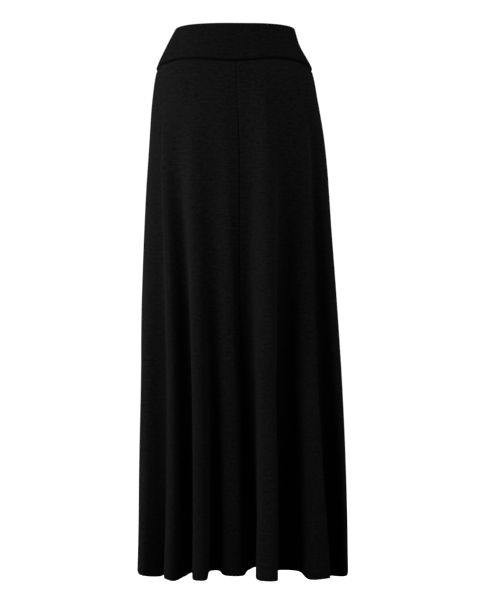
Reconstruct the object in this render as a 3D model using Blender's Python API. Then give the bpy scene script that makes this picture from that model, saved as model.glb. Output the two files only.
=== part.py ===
"""Maxi skirt in jersey: three flared panels under a wide waistband that folds over at the waist.

The cloth hangs as it does when worn, with nobody in it. Metres, +Z up, the front towards -Y and
the wearer's left towards +X. The origin is the middle of the waist opening. The sizes below are
in millimetres, and "down" is measured from the waist edge.
"""
import math
from collections import namedtuple

import bpy
import bmesh
from mathutils import Vector

MM = 0.001

# Driving sizes
LENGTH = 1020.0         # waist edge to hem
BAND_DEPTH = 70.0       # waist edge to the band's seam, on average
BAND_WALL = 2.4         # two layers of jersey
BAND_STEP = 1.8         # how far the band's lower edge stands out past the panels
BAND_ROUND = 1.2        # the waist edge is a soft fold of this depth
PANEL_WALL = 1.5
HEM_WALL = 2.3          # the panel and its turned-up hem
HEM_TURNING = 22.0      # height of the turned-up hem
SEAM_GAP = 0.3          # the pieces stay this far apart at their seams

# The band's seam dips at the middle of the front and the back, and at the sides
SEAM_WAVE = 3.2
SEAM_WAVES = 4          # all round
SEAM_SIDE_DIP = 2.4
SEAM_SIDE_POWER = 14    # a higher power keeps the sides' dip closer to the sides

# The oval that the cloth would fill with no folds in it. squareness 2 is an ellipse, and more
# than 2 fills out its four corners. shift moves the oval towards +X.
Section = namedtuple("Section", "down half_width shift front back squareness")
SECTIONS = (
    Section(0.0, 115.0, 2.4, 88.0, 86.0, 2.9),
    Section(30.0, 127.5, -1.0, 98.0, 96.0, 2.6),
    Section(72.0, 147.5, 0.6, 108.0, 112.0, 2.5),
    Section(130.0, 158.5, 2.0, 117.0, 126.0, 2.4),
    Section(210.0, 168.5, 5.5, 124.0, 134.0, 2.4),
    Section(325.0, 178.0, 7.0, 130.0, 139.0, 2.5),
    Section(520.0, 190.2, 10.0, 139.0, 144.0, 2.7),
    Section(710.0, 197.8, 14.0, 147.0, 150.0, 2.9),
    Section(905.0, 203.8, 16.0, 153.0, 155.0, 3.1),
    Section(LENGTH, 205.5, 15.5, 157.0, 158.0, 3.2),
)

# A fold is a ridge with two shoulders, and on each side a foot in the valley next to it. These
# tables have a row for each fold, in order round the skirt, with a value for each of the four
# lines that run down it. Turns are degrees round from the middle of the front, towards the
# wearer's left.
Fold = namedtuple("Fold", "name left_foot left right right_foot")
# Turns where the folds begin to show
HIGH_TURNS = (
    Fold("right_side", -90.0, -86.0, -70.4, -62.3),
    Fold("front_1", -60.7, -58.6, -54.7, -48.7),
    Fold("front_2", -45.0, -36.8, -31.1, -23.0),
    Fold("front_3", -17.0, -9.6, -7.4, 2.1),
    Fold("front_4", 10.9, 22.5, 25.3, 33.0),
    Fold("front_5", 45.3, 51.2, 54.7, 59.0),
    Fold("left_side", 60.4, 69.0, 86.3, 90.0),
    Fold("back_1", 95.0, 99.0, 108.0, 112.0),
    Fold("back_2", 117.0, 121.0, 130.0, 134.0),
    Fold("back_3", 140.0, 144.0, 154.0, 158.0),
    Fold("back_4", 165.0, 169.0, 179.0, 183.0),
    Fold("back_5", 190.0, 194.0, 206.0, 210.0),
    Fold("back_6", 217.0, 221.0, 229.0, 233.0),
    Fold("back_7", 240.0, 244.0, 254.0, 258.0),
)
# Turns at the hem
HEM_TURNS = (
    Fold("right_side", -90.0, -82.3, -62.1, -52.7),
    Fold("front_1", -51.7, -46.2, -41.7, -38.7),
    Fold("front_2", -35.7, -30.7, -23.8, -23.5),
    Fold("front_3", -18.7, -12.1, 0.3, 5.5),
    Fold("front_4", 11.6, 10.6, 22.3, 24.5),
    Fold("front_5", 39.3, 41.9, 52.3, 52.9),
    Fold("left_side", 60.4, 65.1, 83.0, 90.0),
    Fold("back_1", 96.0, 99.0, 110.0, 113.0),
    Fold("back_2", 122.0, 124.0, 134.0, 133.5),
    Fold("back_3", 146.5, 146.0, 156.0, 162.0),
    Fold("back_4", 166.5, 169.0, 180.0, 179.2),
    Fold("back_5", 186.0, 192.0, 203.0, 206.0),
    Fold("back_6", 216.5, 216.0, 226.0, 228.0),
    Fold("back_7", 236.5, 239.0, 252.0, 257.0),
)
# How far a line swings to the wearer's left halfway down
SWAYS = (
    Fold("right_side", 0.0, 0.5, -1.9, -0.7),
    Fold("front_1", 1.4, 0.6, -0.5, 1.3),
    Fold("front_2", 1.0, -0.9, -1.4, 0.8),
    Fold("front_3", 0.2, 1.4, -2.6, -4.4),
    Fold("front_4", -2.4, 2.5, 1.1, -0.9),
    Fold("front_5", -1.4, 0.6, -3.1, -3.2),
    Fold("left_side", -3.3, 0.2, -0.3, 0.0),
)
# How far a line lies inside the oval at the hem
INSETS = (
    Fold("right_side", 12.0, 7.0, 1.0, 41.0),
    Fold("front_1", 46.0, 9.0, 10.0, 54.0),
    Fold("front_2", 62.0, 13.0, 13.0, 70.0),
    Fold("front_3", 75.0, 41.0, 42.0, 80.0),
    Fold("front_4", 87.0, 10.0, 3.0, 79.0),
    Fold("front_5", 72.0, 16.0, 5.0, 44.0),
    Fold("left_side", 53.0, -2.0, 8.0, 22.0),
    Fold("back_1", 22.0, 4.0, 6.0, 42.0),
    Fold("back_2", 42.0, 8.0, 10.0, 60.0),
    Fold("back_3", 60.0, 10.0, 22.0, 56.0),
    Fold("back_4", 56.0, 6.0, 6.0, 76.0),
    Fold("back_5", 76.0, 24.0, 16.0, 62.0),
    Fold("back_6", 62.0, 5.0, 8.0, 52.0),
    Fold("back_7", 52.0, 8.0, 2.0, 12.0),
)
# How much lower than the rest the hem hangs
DROPS = (
    Fold("right_side", 0.0, 2.0, 5.0, 10.0),
    Fold("front_1", 8.0, 3.0, 6.0, 8.0),
    Fold("front_2", 3.0, 3.0, 3.0, 1.0),
    Fold("front_3", 1.0, 1.0, 2.0, 2.0),
    Fold("front_4", -3.0, 1.0, 1.0, 3.0),
    Fold("front_5", 3.0, 5.0, 4.0, 14.0),
    Fold("left_side", 17.0, 8.0, 1.0, -1.0),
    Fold("back_2", 0.0, -3.0, -3.0, 0.0),
    Fold("back_4", 0.0, -2.0, -2.0, 0.0),
    Fold("back_6", 0.0, -3.0, -3.0, 0.0),
)
# Where a fold begins, down from the waist, and how slowly it deepens
Growth = namedtuple("Growth", "name start ease")
GROWTHS = (
    Growth("right_side", 130.0, 0.95),
    Growth("front_1", 150.0, 0.95),
    Growth("front_2", 75.0, 1.6),
    Growth("front_3", 20.0, 1.7),
    Growth("front_4", 70.0, 1.2),
    Growth("front_5", 150.0, 0.7),
    Growth("left_side", 155.0, 1.5),
    Growth("back_1", 130.0, 1.5),
    Growth("back_2", 110.0, 1.5),
    Growth("back_3", 150.0, 1.6),
    Growth("back_4", 110.0, 1.7),
    Growth("back_5", 160.0, 1.5),
    Growth("back_6", 120.0, 1.6),
    Growth("back_7", 130.0, 1.5),
)
FOLD_TOP = 262.0        # the depth of HIGH_TURNS
FOLD_GATHER = 2.9       # how soon the lines of the folds reach their turns at the hem
INWARD = 0.3            # 0 sinks the valleys straight back, 1 straight towards the axis

SAMPLES = (2, 3, 2, 2)  # columns on a fold's left slope, ridge, right slope and valley
BAND_ROWS = (0.0, 0.02, 0.3, 0.65, 1.0)
PANEL_ROWS = (
    0.0, 0.04, 0.09, 0.15, 0.21, 0.28, 0.35, 0.42, 0.49, 0.56, 0.63, 0.70, 0.77, 0.84, 0.91,
)
HEM_STEP = 1.2          # the turned-up hem's edge thins out over this height
SHARP_EDGE = 50.0       # degrees; the cloth's cut edges are sharper than this, and no fold is

CLOTH_COLOUR = (0.006, 0.006, 0.0065, 1.0)
CLOTH_ROUGHNESS = 0.92


def section_at(down):
    """The oval at this depth, on a smooth curve through the rows of SECTIONS."""
    rows = SECTIONS
    last = len(rows) - 1
    index = 0
    while index < last - 1 and down > rows[index + 1].down:
        index += 1
    before, start = rows[max(index - 1, 0)], rows[index]
    end, after = rows[index + 1], rows[min(index + 2, last)]
    span = end.down - start.down
    u = min(max((down - start.down) / span, 0.0), 1.0)
    values = []
    for field in range(1, len(start)):
        slope_start = (end[field] - before[field]) / (end.down - before.down) * span
        slope_end = (after[field] - start[field]) / (after.down - start.down) * span
        values.append(
            (2 * u**3 - 3 * u**2 + 1) * start[field]
            + (u**3 - 2 * u**2 + u) * slope_start
            + (3 * u**2 - 2 * u**3) * end[field]
            + (u**3 - u**2) * slope_end
        )
    return Section(down, *values)


def cloth_point(turn, down, inset):
    """A point of the cloth's outer face, inset from the oval by that much."""
    oval = section_at(down)
    sine = math.sin(math.radians(turn))
    cosine = math.cos(math.radians(turn))
    depth = oval.front if cosine > 0 else oval.back
    power = oval.squareness
    reach = (abs(sine / oval.half_width) ** power + abs(cosine / depth) ** power) ** (-1 / power)
    x = reach * sine
    y = -reach * cosine
    size = math.hypot(INWARD * x, y)
    return Vector((
        x - inset * INWARD * x / size + oval.shift,
        y - inset * y / size,
        -down,
    ))


# A line runs down the cloth along one foot or shoulder of a fold
Line = namedtuple("Line", "high hem sway inset drop start ease")


def fold_lines():
    """Four lines for each fold: its left foot, its two shoulders and its right foot."""
    flat = Fold("flat", 0.0, 0.0, 0.0, 0.0)
    lines = []
    for index, high in enumerate(HIGH_TURNS):
        hem, inset, grown = HEM_TURNS[index], INSETS[index], GROWTHS[index]
        sway = next((row for row in SWAYS if row.name == high.name), flat)
        drop = next((row for row in DROPS if row.name == high.name), flat)
        for part in Fold._fields[1:]:
            growth = GROWTHS[index - 1] if part == "left_foot" else grown
            values = [getattr(row, part) for row in (high, hem, sway, inset, drop)]
            lines.append(Line(*values, growth.start, growth.ease))
    return lines


LINES = fold_lines()


def seam_down(turn):
    """Depth of the band's seam at this turn."""
    wave = SEAM_WAVE * math.cos(math.radians(SEAM_WAVES * turn))
    side = SEAM_SIDE_DIP * math.sin(math.radians(turn)) ** SEAM_SIDE_POWER
    return BAND_DEPTH + wave + side


def line_point(line, down):
    """A fold line's point at this depth."""
    share = min(max((LENGTH - down) / (LENGTH - FOLD_TOP), 0.0), 1.0)
    growth = max(down - line.start, 0.0) / (LENGTH - line.start)
    turn = line.hem + (line.high - line.hem) * share**FOLD_GATHER
    turn += line.sway * math.sin(math.pi * share)
    return cloth_point(turn, down, line.inset * growth**line.ease)


def closed_curve(points):
    """Columns on a smooth closed curve through the points (centripetal Catmull-Rom)."""
    count = len(points)
    curve = []
    for index in range(count):
        before, start, end, after = (points[(index + step) % count] for step in (-1, 0, 1, 2))
        knots = [0.0]
        for one, other in ((before, start), (start, end), (end, after)):
            knots.append(knots[-1] + math.sqrt((other - one).length))
        samples = SAMPLES[index % len(SAMPLES)]
        for sample in range(samples):
            t = knots[1] + (knots[2] - knots[1]) * sample / samples
            first = before.lerp(start, t / knots[1])
            second = start.lerp(end, (t - knots[1]) / (knots[2] - knots[1]))
            third = end.lerp(after, (t - knots[2]) / (knots[3] - knots[2]))
            low = first.lerp(second, t / knots[2])
            high = second.lerp(third, (t - knots[1]) / (knots[3] - knots[1]))
            curve.append(low.lerp(high, (t - knots[1]) / (knots[2] - knots[1])))
    return curve


def outward_normals(rings):
    """Each point's unit normal, from its neighbours round the ring and up and down."""
    count = len(rings[0])
    last = len(rings) - 1
    normals = []
    for row in range(len(rings)):
        above = rings[max(row - 1, 0)]
        below = rings[min(row + 1, last)]
        ring = rings[row]
        normals.append([
            (above[i] - below[i]).cross(ring[i - 1] - ring[(i + 1) % count]).normalized()
            for i in range(count)
        ])
    return normals


def band_faces():
    """Outer and inner faces of the whole waistband, as rings of points."""
    middle = []
    for share in BAND_ROWS:
        points = [
            line_point(line, (seam_down(line.high) - SEAM_GAP / 2) * share) for line in LINES
        ]
        middle.append(closed_curve(points))
    normals = outward_normals(middle)
    outer, inner = [], []
    for row, share in enumerate(BAND_ROWS):
        pinch = BAND_ROUND / 2 if row == 0 else 0.0
        step = BAND_STEP * share
        pairs = list(zip(middle[row], normals[row]))
        outer.append([point + normal * (step - pinch) for point, normal in pairs])
        inner.append([point + normal * (step - BAND_WALL + pinch) for point, normal in pairs])
    return outer, inner


def panel_faces():
    """Outer and inner faces of all the panels together, as rings of points."""
    panel_length = LENGTH - BAND_DEPTH
    turning = 1.0 - HEM_TURNING / panel_length
    shares = PANEL_ROWS + (turning - HEM_STEP / panel_length, turning, 1.0)
    outer = []
    for share in shares:
        points = []
        for line in LINES:
            top = seam_down(line.high) + SEAM_GAP / 2
            points.append(line_point(line, top + (LENGTH + line.drop - top) * share))
        outer.append(closed_curve(points))
    normals = outward_normals(outer)
    inner = []
    for row, share in enumerate(shares):
        wall = HEM_WALL if share >= turning else PANEL_WALL
        inner.append([
            point - normal * wall for point, normal in zip(outer[row], normals[row])
        ])
    return outer, inner


def columns_between(ring, first, last):
    """The ring's points from one column to another, drawn in from both seams."""
    count = len(ring)
    points = [ring[i % count].copy() for i in range(first, last + 1)]
    draw_in = SEAM_GAP / 2
    ends = (points[1] - points[0]).normalized(), (points[-2] - points[-1]).normalized()
    points[0] += ends[0] * draw_in
    points[-1] += ends[1] * draw_in
    return points


def cloth_material(name):
    material = bpy.data.materials.new(name)
    material.use_nodes = True
    shader = material.node_tree.nodes["Principled BSDF"]
    shader.inputs["Base Color"].default_value = CLOTH_COLOUR
    shader.inputs["Roughness"].default_value = CLOTH_ROUGHNESS
    shader.inputs["Metallic"].default_value = 0.0
    return material


def make_piece(name, faces, first, last):
    """One closed wall of cloth between two columns of the outer and inner faces."""
    outer, inner = faces
    rows = len(outer)
    mesh = bmesh.new()
    grid = []
    for rings in (outer, inner):
        grid.append([
            [mesh.verts.new(p * MM) for p in columns_between(ring, first, last)] for ring in rings
        ])
    out, back = grid
    width = len(out[0])
    for row in range(rows - 1):
        for i in range(width - 1):
            mesh.faces.new((out[row][i], out[row + 1][i], out[row + 1][i + 1], out[row][i + 1]))
            mesh.faces.new((back[row][i + 1], back[row + 1][i + 1], back[row + 1][i], back[row][i]))
        mesh.faces.new((back[row][0], back[row + 1][0], out[row + 1][0], out[row][0]))
        mesh.faces.new((out[row][-1], out[row + 1][-1], back[row + 1][-1], back[row][-1]))
    for i in range(width - 1):
        mesh.faces.new((out[0][i], out[0][i + 1], back[0][i + 1], back[0][i]))
        mesh.faces.new((back[-1][i], back[-1][i + 1], out[-1][i + 1], out[-1][i]))
    bmesh.ops.triangulate(mesh, faces=mesh.faces[:], quad_method="SHORT_EDGE")
    bmesh.ops.recalc_face_normals(mesh, faces=mesh.faces[:])
    data = bpy.data.meshes.new(name)
    mesh.to_mesh(data)
    mesh.free()
    data.shade_smooth()
    data.set_sharp_from_angle(angle=math.radians(SHARP_EDGE))
    data.materials.append(cloth_material(name + "_jersey"))
    piece = bpy.data.objects.new(name, data)
    bpy.context.scene.collection.objects.link(piece)
    return piece


def column_of(fold_name, line):
    """Column of one line of a fold: 0 left foot, 1 and 2 the shoulders, 3 right foot."""
    names = [fold.name for fold in HIGH_TURNS]
    return names.index(fold_name) * sum(SAMPLES) + sum(SAMPLES[:line])


def build():
    for item in list(bpy.data.objects):
        bpy.data.objects.remove(item, do_unlink=True)
    all_round = len(HIGH_TURNS) * sum(SAMPLES)
    right_seam = column_of("right_side", 0)
    middle_seam = column_of("front_3", 3)
    left_seam = column_of("left_side", 3)
    band = band_faces()
    panels = panel_faces()
    make_piece("waistband_front", band, right_seam, left_seam)
    make_piece("waistband_back", band, left_seam, right_seam + all_round)
    make_piece("panel_front_right", panels, right_seam, middle_seam)
    make_piece("panel_front_left", panels, middle_seam, left_seam)
    make_piece("panel_back", panels, left_seam, right_seam + all_round)


build()
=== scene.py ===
import math
from collections import namedtuple

import bpy
import numpy as np
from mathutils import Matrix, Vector, noise


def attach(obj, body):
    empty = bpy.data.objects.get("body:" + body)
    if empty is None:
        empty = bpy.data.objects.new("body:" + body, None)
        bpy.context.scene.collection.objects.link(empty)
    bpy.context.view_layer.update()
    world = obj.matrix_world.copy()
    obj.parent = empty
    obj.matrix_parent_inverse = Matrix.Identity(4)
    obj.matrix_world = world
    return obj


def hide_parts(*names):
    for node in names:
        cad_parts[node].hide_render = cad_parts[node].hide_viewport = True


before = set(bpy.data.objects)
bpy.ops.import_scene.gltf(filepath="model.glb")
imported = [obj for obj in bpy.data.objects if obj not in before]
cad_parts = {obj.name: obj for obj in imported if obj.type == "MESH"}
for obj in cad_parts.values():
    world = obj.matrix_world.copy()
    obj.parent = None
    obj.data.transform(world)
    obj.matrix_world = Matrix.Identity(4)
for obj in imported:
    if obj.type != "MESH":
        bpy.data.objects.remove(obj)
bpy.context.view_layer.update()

MM = 0.001

LENGTH = 1020.0         # waist edge to hem
BAND_DEPTH = 70.0       # waist edge to the waistband's seam, on average
BAND_WALL = 2.4         # two layers of jersey
BAND_STEP = 1.8         # how far the waistband's lower edge stands out past the panels
PANEL_WALL = 1.0
HEM_WALL = 2.2          # the panel and its turned-up hem
HEM_TURNING = 22.0      # height of the turned-up hem

# The waistband's seam dips at the middle of the front and the back, and at the sides
SEAM_WAVE = 3.2
SEAM_WAVES = 4          # all round
SEAM_SIDE_DIP = 2.4
SEAM_SIDE_POWER = 14    # a higher power keeps the sides' dip closer to the sides

# The oval that the cloth would fill with no folds in it. squareness 2 is an ellipse, and more
# than 2 fills out its four corners. shift moves the oval towards +X.
Section = namedtuple("Section", "down half_width shift front back squareness")
SECTIONS = (
    Section(0.0, 115.0, 2.4, 88.0, 86.0, 2.9),
    Section(30.0, 127.5, -1.0, 98.0, 96.0, 2.6),
    Section(72.0, 147.5, 0.6, 108.0, 112.0, 2.5),
    Section(130.0, 158.5, 2.0, 117.0, 126.0, 2.4),
    Section(210.0, 168.5, 5.5, 124.0, 134.0, 2.4),
    Section(325.0, 178.0, 7.0, 130.0, 139.0, 2.5),
    Section(520.0, 190.2, 10.0, 139.0, 144.0, 2.7),
    Section(710.0, 197.8, 14.0, 147.0, 150.0, 2.9),
    Section(905.0, 203.8, 16.0, 153.0, 155.0, 3.1),
    Section(LENGTH, 205.5, 15.5, 157.0, 158.0, 3.2),
)

# A fold is a ridge with two shoulders, and on each side a foot in the valley next to it. These
# tables have a value for each of the four lines that run down it.
Fold = namedtuple("Fold", "name left_foot left right right_foot")
# Turns where the folds begin to show
HIGH_TURNS = (
    Fold("right_side", -90.0, -86.0, -70.4, -62.3),
    Fold("front_1", -60.7, -58.6, -54.7, -48.7),
    Fold("front_2", -45.0, -36.8, -31.1, -23.0),
    Fold("front_3", -17.0, -9.6, -7.4, 2.1),
    Fold("front_4", 10.9, 22.5, 25.3, 33.0),
    Fold("front_5", 45.3, 51.2, 54.7, 59.0),
    Fold("left_side", 60.4, 69.0, 86.3, 90.0),
    Fold("back_1", 95.0, 99.0, 108.0, 112.0),
    Fold("back_2", 117.0, 121.0, 130.0, 134.0),
    Fold("back_3", 140.0, 144.0, 154.0, 158.0),
    Fold("back_4", 165.0, 169.0, 179.0, 183.0),
    Fold("back_5", 190.0, 194.0, 206.0, 210.0),
    Fold("back_6", 217.0, 221.0, 229.0, 233.0),
    Fold("back_7", 240.0, 244.0, 254.0, 258.0),
)
# Turns at the hem
HEM_TURNS = (
    Fold("right_side", -90.0, -82.3, -62.1, -52.7),
    Fold("front_1", -51.7, -46.2, -41.7, -38.7),
    Fold("front_2", -35.7, -30.7, -23.8, -23.5),
    Fold("front_3", -18.7, -12.1, 0.3, 5.5),
    Fold("front_4", 11.6, 10.6, 22.3, 24.5),
    Fold("front_5", 39.3, 41.9, 52.3, 52.9),
    Fold("left_side", 60.4, 65.1, 83.0, 90.0),
    Fold("back_1", 96.0, 99.0, 110.0, 113.0),
    Fold("back_2", 122.0, 124.0, 134.0, 133.5),
    Fold("back_3", 146.5, 146.0, 156.0, 162.0),
    Fold("back_4", 166.5, 169.0, 180.0, 179.2),
    Fold("back_5", 186.0, 192.0, 203.0, 206.0),
    Fold("back_6", 216.5, 216.0, 226.0, 228.0),
    Fold("back_7", 236.5, 239.0, 252.0, 257.0),
)
# How far a line swings to the wearer's left halfway down
SWAYS = (
    Fold("right_side", 0.0, 0.5, -1.9, -0.7),
    Fold("front_1", 1.4, 0.6, -0.5, 1.3),
    Fold("front_2", 1.0, -0.9, -1.4, 0.8),
    Fold("front_3", 0.2, 1.4, -2.6, -4.4),
    Fold("front_4", -2.4, 2.5, 1.1, -0.9),
    Fold("front_5", -1.4, 0.6, -3.1, -3.2),
    Fold("left_side", -3.3, 0.2, -0.3, 0.0),
)
# How far a line lies inside the oval at the hem
INSETS = (
    Fold("right_side", 12.0, 7.0, 1.0, 41.0),
    Fold("front_1", 46.0, 9.0, 10.0, 54.0),
    Fold("front_2", 62.0, 13.0, 13.0, 70.0),
    Fold("front_3", 75.0, 41.0, 42.0, 80.0),
    Fold("front_4", 87.0, 10.0, 3.0, 79.0),
    Fold("front_5", 72.0, 16.0, 5.0, 44.0),
    Fold("left_side", 53.0, -2.0, 8.0, 22.0),
    Fold("back_1", 22.0, 4.0, 6.0, 42.0),
    Fold("back_2", 42.0, 8.0, 10.0, 60.0),
    Fold("back_3", 60.0, 10.0, 22.0, 56.0),
    Fold("back_4", 56.0, 6.0, 6.0, 76.0),
    Fold("back_5", 76.0, 24.0, 16.0, 62.0),
    Fold("back_6", 62.0, 5.0, 8.0, 52.0),
    Fold("back_7", 52.0, 8.0, 2.0, 12.0),
)
# How much lower than the rest the hem hangs
DROPS = (
    Fold("right_side", 0.0, 2.0, 5.0, 10.0),
    Fold("front_1", 8.0, 3.0, 6.0, 8.0),
    Fold("front_2", 3.0, 3.0, 3.0, 1.0),
    Fold("front_3", 1.0, 1.0, 2.0, 2.0),
    Fold("front_4", -3.0, 1.0, 1.0, 3.0),
    Fold("front_5", 3.0, 5.0, 4.0, 14.0),
    Fold("left_side", 17.0, 8.0, 1.0, -1.0),
    Fold("back_2", 0.0, -3.0, -3.0, 0.0),
    Fold("back_4", 0.0, -2.0, -2.0, 0.0),
    Fold("back_6", 0.0, -3.0, -3.0, 0.0),
)
# Where a fold begins, down from the waist, and how slowly it deepens
Growth = namedtuple("Growth", "name start ease")
GROWTHS = (
    Growth("right_side", 130.0, 0.95),
    Growth("front_1", 150.0, 0.95),
    Growth("front_2", 75.0, 1.6),
    Growth("front_3", 20.0, 1.7),
    Growth("front_4", 70.0, 1.2),
    Growth("front_5", 150.0, 0.7),
    Growth("left_side", 155.0, 1.5),
    Growth("back_1", 130.0, 1.5),
    Growth("back_2", 110.0, 1.5),
    Growth("back_3", 150.0, 1.6),
    Growth("back_4", 110.0, 1.7),
    Growth("back_5", 160.0, 1.5),
    Growth("back_6", 120.0, 1.6),
    Growth("back_7", 130.0, 1.5),
)
FOLD_TOP = 262.0        # the depth of HIGH_TURNS
FOLD_GATHER = 2.9       # how soon the lines of the folds reach their turns at the hem
INWARD = 0.3            # 0 sinks the valleys straight back, 1 straight towards the axis
SAMPLES = (8, 10, 8, 8)  # columns on a fold's left slope, ridge, right slope and valley

# Beside a seam the cloth rolls in: how far from the seam, and how far in. Down to PRESSED_FROM
# the seams are pressed to the share SEAM_PRESSED of that, and from PRESSED_TO on they aren't.
Roll = namedtuple("Roll", "away depth")
SEAM_ROLL = (Roll(0.0, 1.5), Roll(0.5, 1.0), Roll(1.2, 0.4), Roll(2.2, 0.05))
SEAM_EDGE = 4.0         # how much cloth at each seam has these extra columns
SEAM_PRESSED = 0.55
PRESSED_FROM = 120.0
PRESSED_TO = 230.0

# The cloth hangs a little unevenly: how big the soft waves are, and how long each way
UNEVEN_TOP = 0.35
UNEVEN_HEM = 1.3
UNEVEN_ACROSS = 46.0
UNEVEN_DOWN = 190.0

# Soft creases, each from one place to another. A trough has a height below 0.
Crease = namedtuple("Crease", "turn down to_turn to_down width height")
CREASES = (
    Crease(-47.0, 86.0, -38.0, 132.0, 9.0, -0.6),
    Crease(-30.0, 92.0, -24.0, 150.0, 11.0, -0.5),
    Crease(-14.0, 84.0, -19.0, 128.0, 8.0, -0.4),
    Crease(28.6, 110.0, 27.4, 620.0, 28.0, 8.5),
    Crease(24.8, 140.0, 24.0, 470.0, 11.0, 2.2),
    Crease(41.0, 84.0, 37.0, 140.0, 9.0, -0.6),
    Crease(58.0, 92.0, 60.0, 190.0, 10.0, -0.8),
    Crease(52.0, 12.0, 66.0, 46.0, 9.0, -0.8),
    Crease(-58.0, 18.0, -46.0, 52.0, 10.0, -0.5),
    Crease(72.0, 96.0, 78.0, 230.0, 12.0, -1.0),
    Crease(84.0, 300.0, 82.0, 620.0, 11.0, -1.2),
    Crease(-74.0, 100.0, -80.0, 240.0, 12.0, -0.9),
    Crease(-79.0, 420.0, -77.0, 700.0, 11.0, -1.0),
    Crease(104.0, 92.0, 101.0, 210.0, 11.0, -0.9),
    Crease(126.0, 88.0, 122.0, 160.0, 9.0, -0.6),
    Crease(150.0, 90.0, 147.0, 190.0, 10.0, -0.7),
    Crease(176.0, 86.0, 174.0, 150.0, 9.0, -0.5),
    Crease(196.0, 88.0, 200.0, 180.0, 10.0, -0.7),
    Crease(222.0, 92.0, 226.0, 170.0, 9.0, -0.6),
    Crease(246.0, 88.0, 250.0, 220.0, 11.0, -0.9),
    Crease(122.0, 14.0, 112.0, 48.0, 9.0, -0.7),
    Crease(236.0, 16.0, 246.0, 50.0, 9.0, -0.6),
)
CREASE_GIRTH = 2.4      # about how much cloth there is to a degree
CREASE_END = 0.12       # a crease swells over half a wave, less this share of it at each end

# Twin-needle stitching holds up the turned hem
STITCH_ROWS = (-20.0, -14.5)
STITCH_PITCH = 3.4
STITCH_SIZE = (2.7, 0.6, 0.5)  # long, wide and high
STITCH_RISE = 0.2
STITCH_REACH = 1.0      # a stitch lies along the line from this far before it to this far after

# A row of points round the cloth: its share of the way down, how much lower than that, and how
# far the row is drawn in. Rows lie close together where the cloth turns.
Row = namedtuple("Row", "share lower depth")
BAND_SPACES = 13
PANEL_SPACES = 150
BAND_ROWS = (
    [Row(0.0, BAND_WALL / 2, 0.0), Row(0.0, 2.2, 0.0), Row(0.0, 4.0, 0.0), Row(0.0, 6.5, 0.0)]
    + [Row(0.13 + 0.8 * step / BAND_SPACES, 0.0, 0.0) for step in range(BAND_SPACES + 1)]
    + [Row(1.0, -4.2, 0.1), Row(1.0, -2.8, 0.5), Row(1.0, -1.7, 1.3), Row(1.0, -0.9, 2.5)]
    + [Row(1.0, -0.4, 3.6), Row(1.0, 0.0, 4.6)]
)
PANEL_ROWS = (
    [Row(0.0, 0.0, 4.6), Row(0.0, 0.9, 3.6), Row(0.0, 1.8, 2.3), Row(0.0, 2.9, 1.1)]
    + [Row(0.0, 4.4, 0.3), Row(0.0, 6.5, 0.0)]
    + [Row(0.01 + 0.96 * step / PANEL_SPACES, 0.0, 0.0) for step in range(PANEL_SPACES + 1)]
    + [Row(1.0, -24.0, 0.0), Row(1.0, -HEM_TURNING, 0.0), Row(1.0, STITCH_ROWS[0], 0.3)]
    + [Row(1.0, -18.2, 0.0), Row(1.0, -16.3, 0.0), Row(1.0, STITCH_ROWS[1], 0.3)]
    + [Row(1.0, -12.5, 0.0), Row(1.0, -8.0, 0.0), Row(1.0, -4.5, 0.0), Row(1.0, -2.3, 0.0)]
    + [Row(1.0, -HEM_WALL / 2, 0.0)]
)
EDGE_TURNS = (45.0, 90.0, 135.0)  # the places of the rows round a soft edge
CUT_SPACING = 1500.0    # between the pieces in their flat map, so that no two have one pattern

# What shows of each piece, laid flat in metres: its widest and longest, and its area
Cut = namedtuple("Cut", "name width length area")

# Round the skirt are soft boxes, a floor and a camera. Turns and the camera's tip are in degrees,
# powers in watts, the lens and its sensor in millimetres, and the rest in metres.
Lamp = namedtuple("Lamp", "name turn away rise width height power")
LAMPS = (
    Lamp("soft_box_left", -66.0, 2.0, 0.0, 2.5, 0.8, 33.0),
    Lamp("soft_box_right", 65.0, 2.0, 0.4, 1.6, 0.8, 12.5),
    Lamp("soft_box_behind", 176.0, 2.6, 0.1, 1.2, 0.8, 20.0),
)
AIR_LIGHT = 0.05
FLOOR_RADIUS = 9.0
FLOOR_DOWN = 1.35

CAMERA_PLACE = (0.0145, -2.2, -0.45)
CAMERA_TIP = 1.8541     # degrees down from level
CAMERA_LENS = 67.45
CAMERA_SENSOR = 36.0

# Where the OFBake map puts the cloth's two faces and its two seam edges
BAKE_CLOTH = 0.97
BAKE_EDGES = (0.975, 0.988)
BAKE_EDGE_WIDTH = 0.008


def section_at(down):
    """The oval at this depth, on a smooth curve through the rows of SECTIONS."""
    last = len(SECTIONS) - 1
    index = 0
    while index < last - 1 and down > SECTIONS[index + 1].down:
        index += 1
    before, start = SECTIONS[max(index - 1, 0)], SECTIONS[index]
    end, after = SECTIONS[index + 1], SECTIONS[min(index + 2, last)]
    span = end.down - start.down
    u = min(max((down - start.down) / span, 0.0), 1.0)
    values = []
    for field in range(1, len(start)):
        slope_start = (end[field] - before[field]) / (end.down - before.down) * span
        slope_end = (after[field] - start[field]) / (after.down - start.down) * span
        values.append(
            (2 * u**3 - 3 * u**2 + 1) * start[field]
            + (u**3 - 2 * u**2 + u) * slope_start
            + (3 * u**2 - 2 * u**3) * end[field]
            + (u**3 - u**2) * slope_end
        )
    return Section(down, *values)


def cloth_point(turn, down, inset):
    """A point of the cloth's outer face, inset from the oval by that much."""
    oval = section_at(down)
    sine = math.sin(math.radians(turn))
    cosine = math.cos(math.radians(turn))
    depth = oval.front if cosine > 0 else oval.back
    power = oval.squareness
    reach = (abs(sine / oval.half_width) ** power + abs(cosine / depth) ** power) ** (-1 / power)
    x = reach * sine
    y = -reach * cosine
    size = math.hypot(INWARD * x, y)
    return x - inset * INWARD * x / size + oval.shift, y - inset * y / size, -down


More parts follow.
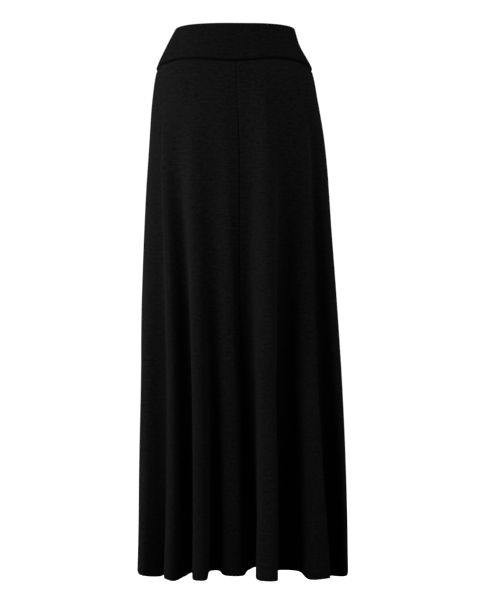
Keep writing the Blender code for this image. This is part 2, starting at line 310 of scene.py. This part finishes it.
# A line runs down the cloth along one foot or shoulder of a fold
Line = namedtuple("Line", "high hem sway inset drop start ease")


def fold_lines():
    """Four lines for each fold: its left foot, its two shoulders and its right foot."""
    flat = Fold("flat", 0.0, 0.0, 0.0, 0.0)
    lines = []
    for index, high in enumerate(HIGH_TURNS):
        hem, inset, grown = HEM_TURNS[index], INSETS[index], GROWTHS[index]
        sway = next((row for row in SWAYS if row.name == high.name), flat)
        drop = next((row for row in DROPS if row.name == high.name), flat)
        for part in Fold._fields[1:]:
            growth = GROWTHS[index - 1] if part == "left_foot" else grown
            values = [getattr(row, part) for row in (high, hem, sway, inset, drop)]
            lines.append(Line(*values, growth.start, growth.ease))
    return lines


LINES = fold_lines()


def seam_down(turn):
    """Depth of the waistband's seam at this turn."""
    wave = SEAM_WAVE * math.cos(math.radians(SEAM_WAVES * turn))
    side = SEAM_SIDE_DIP * math.sin(math.radians(turn)) ** SEAM_SIDE_POWER
    return BAND_DEPTH + wave + side


def line_point(line, down):
    """A fold line's point at this depth."""
    share = min(max((LENGTH - down) / (LENGTH - FOLD_TOP), 0.0), 1.0)
    growth = max(down - line.start, 0.0) / (LENGTH - line.start)
    turn = line.hem + (line.high - line.hem) * share**FOLD_GATHER
    turn += line.sway * math.sin(math.pi * share)
    return cloth_point(turn, down, line.inset * growth**line.ease)


def blend(one, other, at, low, high):
    """The point between one, at low, and the other, at high."""
    return one + (other - one) * ((at - low) / (high - low))[:, None]


def closed_curve(points):
    """Columns on a smooth closed curve through each row's points (centripetal Catmull-Rom)."""
    count = points.shape[1]
    columns = []
    for index in range(count):
        a, b, c, d = (points[:, (index + step) % count] for step in (-1, 0, 1, 2))
        k0 = np.zeros(len(points))
        k1 = k0 + np.sqrt(np.linalg.norm(b - a, axis=1))
        k2 = k1 + np.sqrt(np.linalg.norm(c - b, axis=1))
        k3 = k2 + np.sqrt(np.linalg.norm(d - c, axis=1))
        samples = SAMPLES[index % len(SAMPLES)]
        for sample in range(samples):
            t = k1 + (k2 - k1) * sample / samples
            first = blend(a, b, t, k0, k1)
            second = blend(b, c, t, k1, k2)
            third = blend(c, d, t, k2, k3)
            low = blend(first, second, t, k0, k2)
            high = blend(second, third, t, k1, k3)
            columns.append(blend(low, high, t, k1, k2))
    return np.stack(columns, axis=1)


def outward(rings):
    """Each point's outward normal, from its neighbours round the ring and up and down."""
    above = np.vstack([rings[:1], rings[:-1]])
    below = np.vstack([rings[1:], rings[-1:]])
    across = np.roll(rings, 1, axis=1) - np.roll(rings, -1, axis=1)
    normals = np.cross(above - below, across)
    return normals / np.linalg.norm(normals, axis=2, keepdims=True)


def unevenness(rings):
    """How far the hanging cloth stands out of its plain folds, at each point of the rings."""
    x, y, down = rings[..., 0], rings[..., 1], -rings[..., 2]
    waves = np.array([
        noise.noise(Vector((place[0], place[1], place[2] * UNEVEN_ACROSS / UNEVEN_DOWN)))
        for place in (rings / UNEVEN_ACROSS).reshape(-1, 3)
    ]).reshape(down.shape)
    size = np.interp(down, (BAND_DEPTH, LENGTH), (UNEVEN_TOP, UNEVEN_HEM))
    lift = waves * size
    turn = np.degrees(np.arctan2(x, -y))
    for crease in CREASES:
        start = np.array([0.0, crease.down])
        run = np.array([
            (crease.to_turn - crease.turn) * CREASE_GIRTH, crease.to_down - crease.down
        ])
        beside = ((turn - crease.turn + 180.0) % 360.0 - 180.0) * CREASE_GIRTH
        place = np.stack([beside, down], axis=-1) - start
        along = np.clip((place @ run) / (run @ run), 0.0, 1.0)
        away = np.linalg.norm(place - along[..., None] * run, axis=-1)
        fade = np.sin(math.pi * (CREASE_END + (1.0 - 2 * CREASE_END) * along))
        lift += crease.height * fade * np.exp(-((away / crease.width) ** 2))
    return lift


def cloth_rings(rows, top_of, bottom_of):
    """Rings of the cloth's outer face, and their outward normals."""
    points = []
    for row in rows:
        ring = []
        for line in LINES:
            top, bottom = top_of(line), bottom_of(line)
            ring.append(line_point(line, top + (bottom - top) * row.share + row.lower))
        points.append(ring)
    rings = closed_curve(np.array(points))
    rings += outward(rings) * unevenness(rings)[..., None]
    return rings, outward(rings)


def place_of(fold_name, line):
    """The column of one line of a fold: 0 left foot, 1 and 2 the shoulders, 3 right foot."""
    names = [fold.name for fold in HIGH_TURNS]
    return names.index(fold_name) * sum(SAMPLES) + sum(SAMPLES[:line])


def between_seams(rings, normals, first, last):
    """The cloth from one seam to the next, with more columns beside both seams, where it rolls
    in: its points and normals, how far each lies from the middle along the cloth, and how far
    it is rolled in."""
    index = np.arange(first, last + 1) % rings.shape[1]
    away = np.array([roll.away for roll in SEAM_ROLL])
    depth = np.array([roll.depth for roll in SEAM_ROLL])
    depths = np.concatenate([depth, np.zeros(len(index)), depth[::-1]])
    outer, facing, across, rolled = [], [], [], []
    for row, normal in zip(rings[:, index], normals[:, index]):
        steps = np.linalg.norm(np.diff(row, axis=0), axis=1)
        along = np.concatenate([[0.0], np.cumsum(steps)])
        width = along[-1]
        between = SEAM_EDGE + along * (width - 2 * SEAM_EDGE) / width
        at = np.concatenate([away, between, width - away[::-1]])
        place = np.stack([np.interp(at, along, row[:, k]) for k in range(3)], axis=1)
        out = np.stack([np.interp(at, along, normal[:, k]) for k in range(3)], axis=1)
        out /= np.linalg.norm(out, axis=1, keepdims=True)
        down = -place[:, 2]
        draw = depths * np.interp(down, (PRESSED_FROM, PRESSED_TO), (SEAM_PRESSED, 1.0))
        outer.append(place - out * draw[:, None])
        facing.append(out)
        across.append(at - width / 2)
        rolled.append(draw)
    return np.array(outer), np.array(facing), np.array(across), np.array(rolled)


def edge_rows(edge, next_row, out, wall):
    """The rows round a soft edge, from the outer face to the inner one."""
    ahead = edge - next_row
    ahead /= np.linalg.norm(ahead, axis=1, keepdims=True)
    middle = edge - out * (wall / 2)
    turns = [math.radians(turn) for turn in EDGE_TURNS]
    return [middle + (out * math.cos(t) + ahead * math.sin(t)) * (wall / 2) for t in turns]


def bake_map(mesh, loop, width):
    """The OFBake map: the outer face, then the inner one below it, and the seam edges beside."""
    middle = width // 2
    steps = np.linalg.norm(np.roll(loop, -1, axis=0) - loop, axis=2)[:, middle]
    down = np.concatenate([[0.0], np.cumsum(steps)]) / steps.sum()
    across = np.linspace(0.0, BAKE_CLOTH, width)
    rows = len(loop)
    row, column = np.meshgrid(np.arange(rows), np.arange(width - 1), indexing="ij")
    places = [
        np.stack([across[column + right], down[row + lower]], axis=-1)
        for right, lower in ((0, 0), (0, 1), (1, 1), (1, 0))
    ]
    places = np.stack(places, axis=2).reshape(-1, 2)
    edges = []
    for polygon in mesh.polygons[rows * (width - 1):]:
        left = polygon.vertices[0] % width == 0
        start = BAKE_EDGES[0] if left else BAKE_EDGES[1]
        for vertex in polygon.vertices:
            at = vertex // width
            inside = at >= rows / 2
            at = min(at, rows - at)
            edges.append((start + (BAKE_EDGE_WIDTH if inside else 0.0), down[at]))
    places = np.vstack([places, np.array(edges)])
    mesh.uv_layers.new(name="OFBake").uv.foreach_set("vector", places.ravel())


def cloth_shell(name, outer, facing, across, walls, drawn_in, cut_from):
    """A closed shell of cloth behind this outer face, with how far it is drawn in at its seams.
    One UV map lays it flat in metres, and OFBake lays both faces in one square."""
    rows, width = outer.shape[:2]
    inner = outer - facing * walls[:, None, None]
    lower = edge_rows(outer[-1], outer[-2], facing[-1], walls[-1])
    upper = edge_rows(outer[0], outer[1], facing[0], walls[0])[::-1]
    loop = np.concatenate([outer, lower, inner[::-1], upper])
    row_of = list(range(rows)) + [rows - 1] * len(lower)
    row_of += list(range(rows - 1, -1, -1)) + [0] * len(upper)
    down = -outer[row_of, :, 2]
    flat = np.stack([across[row_of] + cut_from, down], axis=-1).reshape(-1, 2) * MM
    number = np.arange(len(loop) * width).reshape(len(loop), width)
    after = np.roll(number, -1, axis=0)
    quads = [number[:, :-1], after[:, :-1], after[:, 1:], number[:, 1:]]
    faces = np.stack(quads, axis=-1).reshape(-1, 4).tolist()
    back = number[rows + len(lower): 2 * rows + len(lower)][::-1]
    for row in range(rows - 1):
        ends = number[row], back[row], back[row + 1], number[row + 1]
        faces.append([int(end[0]) for end in ends])
        faces.append([int(end[-1]) for end in ends[::-1]])
    hem = number[rows - 1: rows + len(lower) + 1]
    rim = np.vstack([number[2 * rows + len(lower) - 1:], number[:1]])
    for edge in (hem, rim):
        faces.append(edge[::-1, 0].tolist())
        faces.append(edge[:, -1].tolist())
    mesh = bpy.data.meshes.new(name)
    mesh.from_pydata((loop.reshape(-1, 3) * MM).tolist(), [], faces)
    corners = np.empty(len(mesh.loops), np.int32)
    mesh.loops.foreach_get("vertex_index", corners)
    mesh.uv_layers.new(name="cloth").uv.foreach_set("vector", flat[corners].ravel())
    bake_map(mesh, loop, width)
    # how far the cloth is drawn in, which the material paints as shade in the grooves
    seam = mesh.attributes.new("drawn_in", "FLOAT", "POINT")
    seam.data.foreach_set("value", drawn_in[row_of].ravel())
    mesh.shade_smooth()
    piece = bpy.data.objects.new(name, mesh)
    bpy.context.scene.collection.objects.link(piece)
    return piece


def node(material, kind, inputs, **settings):
    """Adds a node with its settings, and its inputs, each a value or another node's output."""
    made = material.node_tree.nodes.new(kind)
    for name, value in settings.items():
        setattr(made, name, value)
    for name, value in inputs.items():
        if isinstance(value, bpy.types.NodeSocket):
            material.node_tree.links.new(value, made.inputs[name])
        else:
            made.inputs[name].default_value = value
    return made


def linear(colour):
    """A colour in sRGB hex as linear red, green, blue and alpha."""
    values = [int(colour[i: i + 2], 16) / 255 for i in (1, 3, 5)]
    return [v / 12.92 if v <= 0.04045 else ((v + 0.055) / 1.055) ** 2.4 for v in values] + [1.0]


def viscose_jersey(name, deep, light):
    """Viscose jersey, dyed black. Its surface of small loops and loose fibres is matt. The yarn
    is uneven, so the dye takes in short level streaks."""
    material = bpy.data.materials.new(name)
    material.use_nodes = True
    shader = material.node_tree.nodes["Principled BSDF"]
    cloth = node(material, "ShaderNodeUVMap", {}, uv_map="cloth").outputs["UV"]

    def streaks(long, tall, detail):
        scale = (1 / (long * MM), 1 / (tall * MM), 1.0)
        place = node(material, "ShaderNodeMapping", {"Vector": cloth, "Scale": scale})
        settings = {"Vector": place.outputs["Vector"], "Scale": 1.0, "Detail": detail}
        return node(material, "ShaderNodeTexNoise", settings).outputs["Fac"]

    # The real slubs are under 1 mm thick and the stitches 0.8 mm apart. They are drawn 4 mm
    # tall and 1.4 mm apart, so that they show.
    slubs = streaks(15.0, 4.2, 1.0)
    flecks = streaks(6.0, 4.3, 1.0)
    yarn = streaks(2.8, 1.4, 0.0)
    fading = streaks(80.0, 130.0, 2.0)

    def weigh(value, by, other):
        inputs = {0: value, 1: by, 2: other}
        return node(
            material, "ShaderNodeMath", inputs, operation="MULTIPLY_ADD"
        ).outputs["Value"]

    uneven = weigh(slubs, 1.0, weigh(flecks, 1.4, weigh(yarn, 0.5, 0.0)))
    spread = weigh(fading, 0.5, uneven)
    share = node(
        material,
        "ShaderNodeMapRange",
        {"Value": spread, "From Min": 1.15, "From Max": 2.25},
    ).outputs["Result"]
    colour = node(
        material,
        "ShaderNodeMix",
        {"Factor": share, 6: linear(deep), 7: linear(light)},
        data_type="RGBA",
    ).outputs[2]
    # Painted shade: where a seam or a row of stitches draws the cloth in, its colour is darkened
    # towards near black, for the shadow that lies in the groove
    drawn_in = node(material, "ShaderNodeAttribute", {}, attribute_name="drawn_in")
    painted_seam_shade = node(
        material,
        "ShaderNodeMapRange",
        {"Value": drawn_in.outputs["Fac"], "From Min": 0.25, "From Max": 1.5},
    ).outputs["Result"]
    colour = node(
        material,
        "ShaderNodeMix",
        {"Factor": painted_seam_shade, 6: colour, 7: linear("#070707")},
        data_type="RGBA",
    ).outputs[2]
    bump = node(
        material,
        "ShaderNodeBump",
        {"Strength": 0.5, "Distance": 0.0004, "Height": uneven},
    ).outputs["Normal"]
    material.node_tree.links.new(colour, shader.inputs["Base Color"])
    material.node_tree.links.new(bump, shader.inputs["Normal"])
    shader.inputs["Roughness"].default_value = 0.92
    shader.inputs["Specular IOR Level"].default_value = 0.08
    shader.inputs["Sheen Weight"].default_value = 0.03
    shader.inputs["Sheen Roughness"].default_value = 0.5
    return material


def sewing_thread():
    """Spun polyester sewing thread, dyed black. It is twisted, so it shines in fine bands, and
    these are painted into its colour as lighter bands.
    """
    material = bpy.data.materials.new("spun_polyester_thread")
    material.use_nodes = True
    shader = material.node_tree.nodes["Principled BSDF"]
    place = node(material, "ShaderNodeTexCoord", {}).outputs["Object"]
    # painted highlight: the plies are 0.15 mm apart, drawn at 0.6 mm so that they show, and their
    # shine is a lighter colour
    painted_ply_shine = node(
        material,
        "ShaderNodeTexWave",
        {"Vector": place, "Scale": 520.0, "Distortion": 1.5},
        bands_direction="DIAGONAL",
    ).outputs["Fac"]
    colour = node(
        material,
        "ShaderNodeMix",
        {"Factor": painted_ply_shine, 6: linear("#101010"), 7: linear("#1f1f1f")},
        data_type="RGBA",
    ).outputs[2]
    material.node_tree.links.new(colour, shader.inputs["Base Color"])
    shader.inputs["Roughness"].default_value = 0.6
    shader.inputs["Specular IOR Level"].default_value = 0.25
    return material


def make_stitching(rows, thread):
    """Both rows of hem stitches as one piece. rows has points and normals along each of them."""
    bpy.ops.object.select_all(action="DESELECT")
    bpy.ops.mesh.primitive_uv_sphere_add(segments=6, ring_count=4, radius=0.5)
    one = bpy.context.object
    bpy.ops.object.mode_set(mode="EDIT")
    bpy.ops.mesh.select_all(action="SELECT")
    bpy.ops.transform.rotate(value=math.radians(90.0), orient_axis="Y", center_override=(0, 0, 0))
    bpy.ops.transform.resize(value=STITCH_SIZE)
    bpy.ops.object.mode_set(mode="OBJECT")
    shape = np.array([vertex.co for vertex in one.data.vertices])
    corners = [np.array(face.vertices) for face in one.data.polygons]
    bpy.data.objects.remove(one)
    points, faces = [], []
    for places, normals in rows:
        along = np.concatenate([[0.0], np.cumsum(np.linalg.norm(np.diff(places, axis=0), axis=1))])
        count = int(along[-1] / STITCH_PITCH)
        for number in range(count):
            at = (number + 0.5) * along[-1] / count
            ends = [
                np.array([np.interp(at + step, along, places[:, k]) for k in range(3)])
                for step in (-STITCH_REACH, STITCH_REACH)
            ]
            ahead = ends[1] - ends[0]
            ahead /= np.linalg.norm(ahead)
            out = np.array([np.interp(at, along, normals[:, k]) for k in range(3)])
            out -= ahead * (out @ ahead)
            out /= np.linalg.norm(out)
            frame_of = np.stack([ahead, np.cross(out, ahead), out])
            centre = (ends[0] + ends[1]) / 2 + out * STITCH_RISE
            first = len(points) * len(shape)
            points.append(centre + shape @ frame_of)
            faces += [(corner + first).tolist() for corner in corners]
    mesh = bpy.data.meshes.new("hem_stitching")
    mesh.from_pydata((np.vstack(points) * MM).tolist(), [], faces)
    mesh.shade_smooth()
    mesh.materials.append(thread)
    piece = bpy.data.objects.new("hem_stitching", mesh)
    bpy.context.scene.collection.objects.link(piece)
    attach(piece, "root")
    return piece


def make_cloth():
    """The waistband's two pieces and the three panels, each on the form of its solid."""
    right = place_of("right_side", 0)
    middle = place_of("front_3", 3)
    left = place_of("left_side", 3)
    round_again = right + len(HIGH_TURNS) * sum(SAMPLES)
    jersey = viscose_jersey("viscose_jersey", "#0e0e0e", "#222222")
    doubled = viscose_jersey("doubled_viscose_jersey", "#0c0c0c", "#1e1e1e")

    band_rings, band_out = cloth_rings(
        BAND_ROWS, lambda line: 0.0, lambda line: seam_down(line.high)
    )
    panel_rings, panel_out = cloth_rings(
        PANEL_ROWS, lambda line: seam_down(line.high), lambda line: LENGTH + line.drop
    )
    for row, spec in enumerate(BAND_ROWS):
        step = BAND_STEP * min(spec.share + spec.lower / BAND_DEPTH, 1.0)
        band_rings[row] += band_out[row] * (step - spec.depth)
    for row, spec in enumerate(PANEL_ROWS):
        panel_rings[row] -= panel_out[row] * spec.depth
    band_walls = np.full(len(BAND_ROWS), BAND_WALL)
    panel_walls = np.array([
        HEM_WALL if spec.share == 1.0 and spec.lower >= -HEM_TURNING else PANEL_WALL
        for spec in PANEL_ROWS
    ])
    pieces = (
        ("waistband_front", band_rings, band_out, band_walls, right, left, doubled),
        ("waistband_back", band_rings, band_out, band_walls, left, round_again, doubled),
        ("panel_front_right", panel_rings, panel_out, panel_walls, right, middle, jersey),
        ("panel_front_left", panel_rings, panel_out, panel_walls, middle, left, jersey),
        ("panel_back", panel_rings, panel_out, panel_walls, left, round_again, jersey),
    )
    stitched = []
    for number, (name, rings, out, walls, first, last, material) in enumerate(pieces):
        outer, facing, across, rolled = between_seams(rings, out, first, last)
        rows = BAND_ROWS if material is doubled else PANEL_ROWS
        drawn_in = np.maximum(np.array([row.depth for row in rows])[:, None], rolled)
        piece = cloth_shell(
            "jersey_" + name, outer, facing, across, walls, drawn_in, number * CUT_SPACING
        )
        stitched += [
            (outer[index], facing[index]) for index, row in enumerate(rows)
            if row.share == 1.0 and row.lower in STITCH_ROWS
        ]
        piece.data.materials.append(material)
        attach(piece, "root")
        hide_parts(name)
    make_stitching(stitched, sewing_thread())


def make_studio():
    """A pale floor that curves up all round, soft lamps and the camera."""
    bpy.ops.object.select_all(action="DESELECT")
    bpy.ops.mesh.primitive_uv_sphere_add(segments=64, ring_count=32, radius=FLOOR_RADIUS)
    cove = bpy.context.object
    cove.name = "studio_floor"
    for vertex in cove.data.vertices:
        vertex.co.z = max(vertex.co.z, -FLOOR_DOWN)
    cove.data.shade_smooth()
    paint = bpy.data.materials.new("white_floor_paint")
    paint.use_nodes = True
    shader = paint.node_tree.nodes["Principled BSDF"]
    shader.inputs["Base Color"].default_value = linear("#f4f4f4")
    shader.inputs["Emission Color"].default_value = (1.0, 1.0, 1.0, 1.0)
    shader.inputs["Emission Strength"].default_value = 1.0
    cove.data.materials.append(paint)
    cove.visible_diffuse = cove.visible_glossy = cove.visible_shadow = False

    world = bpy.data.worlds.new("studio_air")
    world.use_nodes = True
    world.node_tree.nodes["Background"].inputs["Color"].default_value = (1.0, 1.0, 1.0, 1.0)
    world.node_tree.nodes["Background"].inputs["Strength"].default_value = AIR_LIGHT
    bpy.context.scene.world = world

    for lamp_row in LAMPS:
        turn = math.radians(lamp_row.turn)
        offset = Vector((math.sin(turn), -math.cos(turn), 0.0))
        rise = Vector((0.0, 0.0, lamp_row.rise))
        bpy.ops.object.light_add(type="AREA", location=offset * lamp_row.away + rise)
        lamp = bpy.context.object
        lamp.name = lamp_row.name
        lamp.rotation_euler = (-offset).to_track_quat("-Z", "Y").to_euler()
        lamp.data.shape = "RECTANGLE"
        lamp.data.size = lamp_row.width
        lamp.data.size_y = lamp_row.height
        lamp.data.energy = lamp_row.power

    bpy.ops.object.camera_add(
        location=CAMERA_PLACE,
        rotation=(math.radians(90.0 - CAMERA_TIP), 0.0, 0.0),
    )
    camera = bpy.context.object
    camera.data.lens = CAMERA_LENS
    camera.data.sensor_width = CAMERA_SENSOR
    camera.data.clip_end = 100.0
    bpy.context.scene.camera = camera
    bpy.context.scene.view_settings.view_transform = "Standard"


make_cloth()
make_studio()
